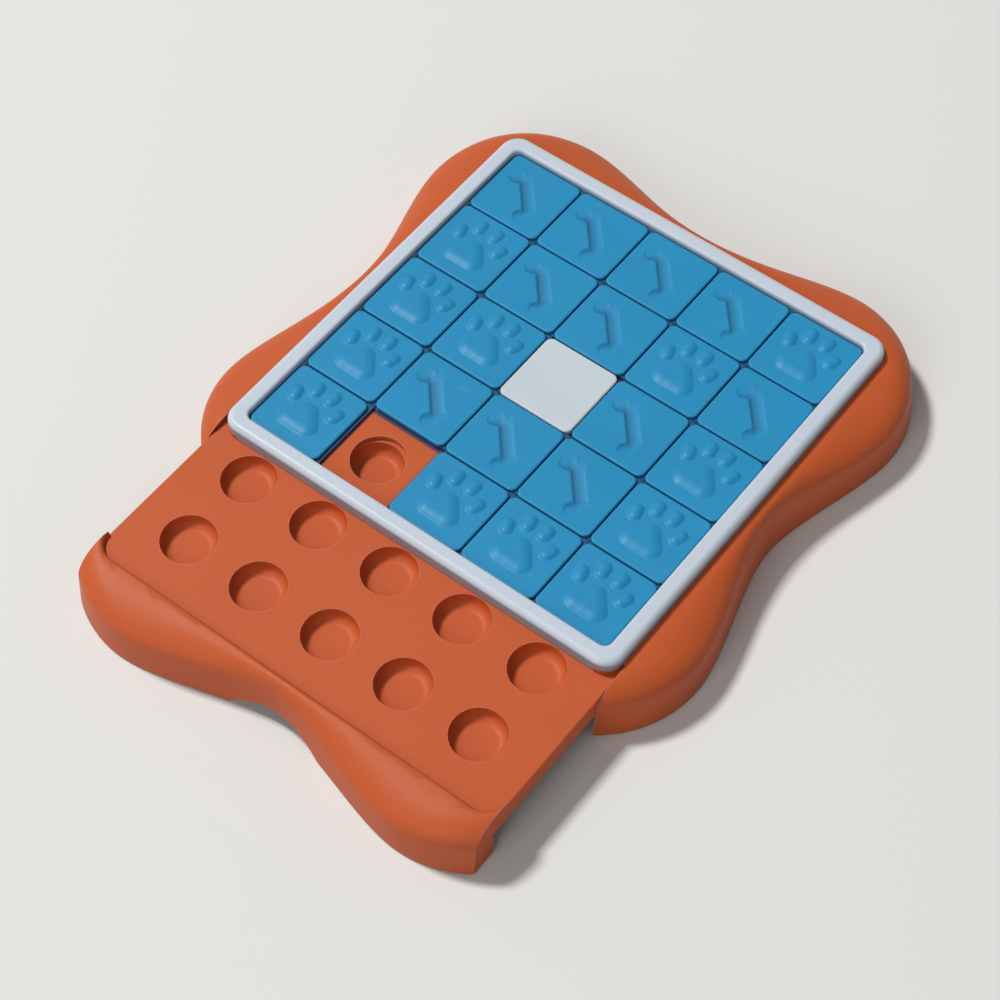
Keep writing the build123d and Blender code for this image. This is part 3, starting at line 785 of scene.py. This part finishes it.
# %% Tree: a paw of soft pads
PAD_HEIGHT = 1.45 * MM
PAD_MERGE = 0.2 * MM
TOE_RADIUS = 3.7 * MM
TOE_CORE = 1.7 * MM
TOES = (((5.1 * MM, 12.8 * MM), math.radians(6)), ((12.8 * MM, 5.0 * MM), math.radians(18)))
HEEL_RADIUS = 6.0 * MM
HEEL_TOP = (0.0, -1.2 * MM)
HEEL_SIDE = (5.6 * MM, -8.4 * MM)
HEEL_BASE = (0.0, -8.4 * MM)
HEEL_LINES = ((HEEL_TOP, HEEL_SIDE), (HEEL_BASE, HEEL_SIDE), (HEEL_TOP, HEEL_BASE))


def toe_core(middle, lean):
    """The two ends of a toe's core line, which leans outwards at its tip."""
    tip = Vector((math.sin(lean), math.cos(lean))) * TOE_CORE
    return tuple(Vector(middle) - tip), tuple(Vector(middle) + tip)


def build_paw_tree():
    """The pads of the right half, mirrored to the left by the distance from the middle line."""
    tree, given, out = new_tree(
        "paw_relief", "GeometryNodeTree",
        [("Tile", "shape", None), ("Pad Height", "number", PAD_HEIGHT),
         ("Toe Radius", "number", TOE_RADIUS), ("Heel Radius", "number", HEEL_RADIUS),
         ("Finish", "material", None)],
        [("Tile", "shape")])
    x, y = axes_of(tree, add(tree, "GeometryNodeInputPosition"))[:2]
    place = joined(tree, maths(tree, "ABSOLUTE", x), y, 0.0)
    pads = [(*toe_core(*toe), given["Toe Radius"]) for toe in TOES]
    pads += [(*line, given["Heel Radius"]) for line in HEEL_LINES]
    height = 0.0
    for start, stop, radius in pads:
        pad = place_group(tree, pad_tree, Place=place, From=(*start, 0.0), To=(*stop, 0.0), Radius=radius,
                          Height=given["Pad Height"])["Height"]
        height = maths(tree, "SMOOTH_MAX", height, pad, PAD_MERGE)
    tree.links.new(lift_top(tree, given["Tile"], height, given["Finish"]), out["Tile"])
    return tree


paw_tree = build_paw_tree()
print("tree", paw_tree.name, "toes", 2 * len(TOES))

# %% Sizes of a bone
BONE_LENGTH = 38.0 * MM
BONE_WIDTH = 19.0 * MM
BONE_SHAFT = 8.0 * MM
BONE_KNOB = 4.9 * MM
BONE_DEPTH = 0.95 * MM
BONE_WALL = 1.3 * MM
BONE_SHALLOW = 0.08
BONE_DISH_ACROSS = (-4.5 * MM, 3.0 * MM)
BONE_DISH_ALONG = (9.5 * MM, 17.0 * MM)
BONE_TURN = math.radians(131.0)
BONE_MIDDLE = (0.6 * MM, 1.0 * MM, 0.0)
BONE_MERGE = 2.6 * MM
print("bone", round(BONE_LENGTH / MM), "mm long")

# %% Tree: a hollow bone


def half_less(tree, whole, part):
    """Half of a length, less another length."""
    return maths(tree, "SUBTRACT", maths(tree, "MULTIPLY", whole, 0.5), part)


def inside_bone(tree, given, along, across):
    """How far a point lies inside the outline of a shaft with a pair of knobs at each end."""
    end = half_less(tree, given["Length"], given["Knob Radius"])
    side = half_less(tree, given["Width"], given["Knob Radius"])
    in_shaft = maths(tree, "MINIMUM", half_less(tree, given["Shaft"], across),
                     maths(tree, "SUBTRACT", end, along))
    from_knob = vector_maths(tree, "DISTANCE", joined(tree, along, across, 0.0), joined(tree, end, side, 0.0),
                             output="Value")
    in_knob = maths(tree, "SUBTRACT", given["Knob Radius"], from_knob)
    return maths(tree, "SMOOTH_MAX", in_shaft, in_knob, BONE_MERGE)


def build_bone_tree():
    tree, given, out = new_tree(
        "bone_relief", "GeometryNodeTree",
        [("Tile", "shape", None), ("Length", "number", BONE_LENGTH), ("Width", "number", BONE_WIDTH),
         ("Shaft", "number", BONE_SHAFT), ("Knob Radius", "number", BONE_KNOB),
         ("Depth", "number", BONE_DEPTH), ("Wall", "number", BONE_WALL), ("Turn", "number", BONE_TURN),
         ("Finish", "material", None)],
        [("Tile", "shape")])
    from_middle = vector_maths(tree, "SUBTRACT", add(tree, "GeometryNodeInputPosition"), BONE_MIDDLE)
    turned = add(tree, "ShaderNodeVectorRotate", from_middle, rotation_type="Z_AXIS")
    feed_named(tree, turned.node, {"Angle": maths(tree, "MULTIPLY", given["Turn"], -1.0)})
    u, v = axes_of(tree, turned)[:2]
    along, across = maths(tree, "ABSOLUTE", u), maths(tree, "ABSOLUTE", v)
    slope = ranged(tree, inside_bone(tree, given, along, across), 0.0, given["Wall"],
                   interpolation_type="SMOOTHSTEP")
    dished = maths(tree, "MULTIPLY", ranged(tree, v, *BONE_DISH_ACROSS, BONE_SHALLOW, 1.0),
                   ranged(tree, along, *BONE_DISH_ALONG, 1.0, BONE_SHALLOW))
    height = maths(tree, "MULTIPLY", maths(tree, "MULTIPLY", slope, dished),
                   maths(tree, "MULTIPLY", given["Depth"], -1.0))
    tree.links.new(lift_top(tree, given["Tile"], height, given["Finish"]), out["Tile"])
    return tree


bone_tree = build_bone_tree()
print("tree", bone_tree.name)

# %% [markdown]
# ## Running a tree once
# All paw tiles are the same moulding, so each tree runs on the blank once. The evaluated result is kept as a
# plain mesh, the modifier goes, and every tile is a copy of that mesh, moved to its cell.

# %% Evaluate a tree


def run_tree(mesh, tree, **values):
    """The mesh that a Geometry Nodes tree makes from another mesh."""
    carrier = bpy.data.objects.new(tree.name, mesh)
    bpy.context.scene.collection.objects.link(carrier)
    modifier = carrier.modifiers.new(tree.name, "NODES")
    modifier.node_group = tree
    for socket in tree.interface.items_tree:
        key = socket.name.replace(" ", "_")
        if socket.in_out == "INPUT" and key in values:
            modifier[socket.identifier] = values[key]
    seen = carrier.evaluated_get(bpy.context.evaluated_depsgraph_get())
    made = bpy.data.meshes.new_from_object(seen)
    bpy.data.objects.remove(carrier)
    return made


paw_mesh = run_tree(blank, paw_tree, Finish=finish["tile_plastic"])
bone_mesh = run_tree(blank, bone_tree, Finish=finish["tile_plastic"])
print("paw", len(paw_mesh.vertices), "bone", len(bone_mesh.vertices))

# %% Lay the tiles
SOFT_EDGE = math.radians(35)


def lay_tile(node_name, mesh):
    """A finished tile in the place of its CAD node, whose box starts at the two groove sides."""
    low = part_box(node_name)[0]
    copy = mesh.copy()
    copy.transform(Matrix.Translation((low[0] + TILE_HALF, low[1] + TILE_HALF, low[2])))
    copy.name = node_name.replace("_tile", "")
    tile = bpy.data.objects.new(copy.name, copy)
    bpy.context.scene.collection.objects.link(tile)
    smooth_flats(tile, SOFT_EDGE)
    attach(tile, body_of[node_name])
    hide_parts(node_name)
    return tile


tiles = []
for name in sorted(nodes):
    if name.startswith(("paw_tile", "bone_tile")):
        tiles.append(lay_tile(name, paw_mesh if name.startswith("paw") else bone_mesh))
print("tiles", len(tiles))

# %% [markdown]
# ## Four screws
# The runners hang from four self-tapping screws. A screw is a pan head with a cross recess and a threaded
# shank, and both follow a rule: the head's face bulges with the distance from its middle and dips in the
# cross, the thread swells and shrinks with height and angle. One tree makes a screw and instances it on the
# bosses.

# %% Sizes of a screw
SCREW_HEAD = 3.2 * MM
SCREW_HEAD_HEIGHT = 1.8 * MM
SCREW_BULGE = 0.9 * MM
SCREW_CROWN = 3.0
HEAD_SIDES = 40
HEAD_RINGS = 10
SCREW_SHANK = 1.3 * MM
SHANK_SIDES = 20
SHANK_RINGS = 48
THREAD_DEPTH = 0.2 * MM
THREAD_PITCH = 1.1 * MM
CROSS_HALF_WIDTH = 0.45 * MM
CROSS_REACH = 1.9 * MM
CROSS_DEPTH = 1.1 * MM
screw_low, screw_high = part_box("runner_screws")
shank_length = screw_high[2] - screw_low[2] - SCREW_HEAD_HEIGHT
print("screw", round((screw_high[2] - screw_low[2]) / MM, 1), "mm long")

# %% The head and the shank


def screw_head(tree, given, x, y, z):
    """A disc whose underside, where the driver goes, is crowned and has a cross recess."""
    disc = add_named(tree, "GeometryNodeMeshCylinder", Vertices=HEAD_SIDES, Fill_Segments=HEAD_RINGS,
                     Radius=given["Head Radius"], Depth=given["Head Height"])
    radius = vector_maths(tree, "LENGTH", joined(tree, x, y, 0.0), output="Value")
    share = maths(tree, "DIVIDE", radius, given["Head Radius"])
    crown = maths(tree, "MULTIPLY", maths(tree, "POWER", share, SCREW_CROWN), SCREW_BULGE)
    narrow = maths(tree, "MINIMUM", maths(tree, "ABSOLUTE", x), maths(tree, "ABSOLUTE", y))
    in_arm = ranged(tree, narrow, CROSS_HALF_WIDTH, CROSS_HALF_WIDTH / 2, 0.0, CROSS_DEPTH)
    recess = maths(tree, "MULTIPLY", in_arm, ranged(tree, radius, CROSS_REACH, CROSS_REACH / 3))
    below = add(tree, "FunctionNodeCompare", z, 0.0, operation="LESS_THAN")
    raised = add(tree, "GeometryNodeSetPosition", disc, below, None,
                 joined(tree, 0.0, 0.0, maths(tree, "ADD", crown, recess)))
    half_up = maths(tree, "MULTIPLY", given["Head Height"], 0.5)
    return add(tree, "GeometryNodeTransform", raised, joined(tree, 0.0, 0.0, half_up))


def screw_shank(tree, given, x, y, z):
    """A rod whose skin swells with height and angle, which makes a thread."""
    rod = add_named(tree, "GeometryNodeMeshCylinder", Vertices=SHANK_SIDES, Side_Segments=SHANK_RINGS,
                    Radius=SCREW_SHANK, Depth=given["Shank Length"])
    angle = maths(tree, "DIVIDE", maths(tree, "ARCTAN2", y, x), 2 * math.pi)
    turns = maths(tree, "SUBTRACT", maths(tree, "DIVIDE", z, THREAD_PITCH), angle)
    ridge = maths(tree, "MULTIPLY", maths(tree, "PINGPONG", turns, 0.5), 2 * THREAD_DEPTH)
    outward = vector_maths(tree, "NORMALIZE", joined(tree, x, y, 0.0))
    threaded = add(tree, "GeometryNodeSetPosition", rod, True, None, scaled(tree, outward, ridge))
    half_up = maths(tree, "MULTIPLY_ADD", given["Shank Length"], 0.5, given["Head Height"])
    return add(tree, "GeometryNodeTransform", threaded, joined(tree, 0.0, 0.0, half_up))


print("head", HEAD_SIDES, "sides, shank", SHANK_RINGS, "rings")

# %% Tree: screws on the bosses


def build_screw_tree():
    tree, given, out = new_tree(
        "screws_on_bosses", "GeometryNodeTree",
        [("Blank", "shape", None), ("Head Radius", "number", SCREW_HEAD),
         ("Head Height", "number", SCREW_HEAD_HEIGHT), ("Shank Length", "number", shank_length),
         ("Spread", "vector", (0.1, 0.1, 0.0)), ("Start", "vector", (0.0, 0.0, 0.0)),
         ("Finish", "material", None)],
        [("Screws", "shape")])
    x, y, z = axes_of(tree, add(tree, "GeometryNodeInputPosition"))
    screw = tree.nodes.new("GeometryNodeJoinGeometry")
    for shape in (screw_head(tree, given, x, y, z), screw_shank(tree, given, x, y, z)):
        tree.links.new(shape, screw.inputs["Geometry"])
    wide, deep = axes_of(tree, given["Spread"])[:2]
    grid = add_named(tree, "GeometryNodeMeshGrid", Vertices_X=2, Vertices_Y=2, Size_X=wide, Size_Y=deep)
    bosses = add(tree, "GeometryNodeTransform", grid, given["Start"])
    placed = add_named(tree, "GeometryNodeInstanceOnPoints", Points=bosses,
                       Instance=screw.outputs["Geometry"])
    real = add(tree, "GeometryNodeRealizeInstances", placed)
    tree.links.new(add(tree, "GeometryNodeSetMaterial", real, True, given["Finish"]), out["Screws"])
    return tree


screw_tree = build_screw_tree()
print("tree", screw_tree.name)

# %% Drive the screws
spread = [high - low - 2 * SCREW_HEAD for low, high in zip(screw_low[:2], screw_high[:2])]
middle = [(low + high) / 2 for low, high in zip(screw_low[:2], screw_high[:2])]
screw_mesh = run_tree(bpy.data.meshes.new("no_blank"), screw_tree, Spread=(*spread, 0.0),
                      Start=(*middle, screw_low[2]), Finish=finish["screw_steel"])
screws = bpy.data.objects.new("cross_head_screws", screw_mesh)
bpy.context.scene.collection.objects.link(screws)
screw_mesh.shade_smooth()
screws.modifiers.new("crisp_edges", "EDGE_SPLIT").split_angle = SOFT_EDGE
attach(screws, body_of["runner_screws"])
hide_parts("runner_screws")
print("screws", len(screw_mesh.polygons), "faces")
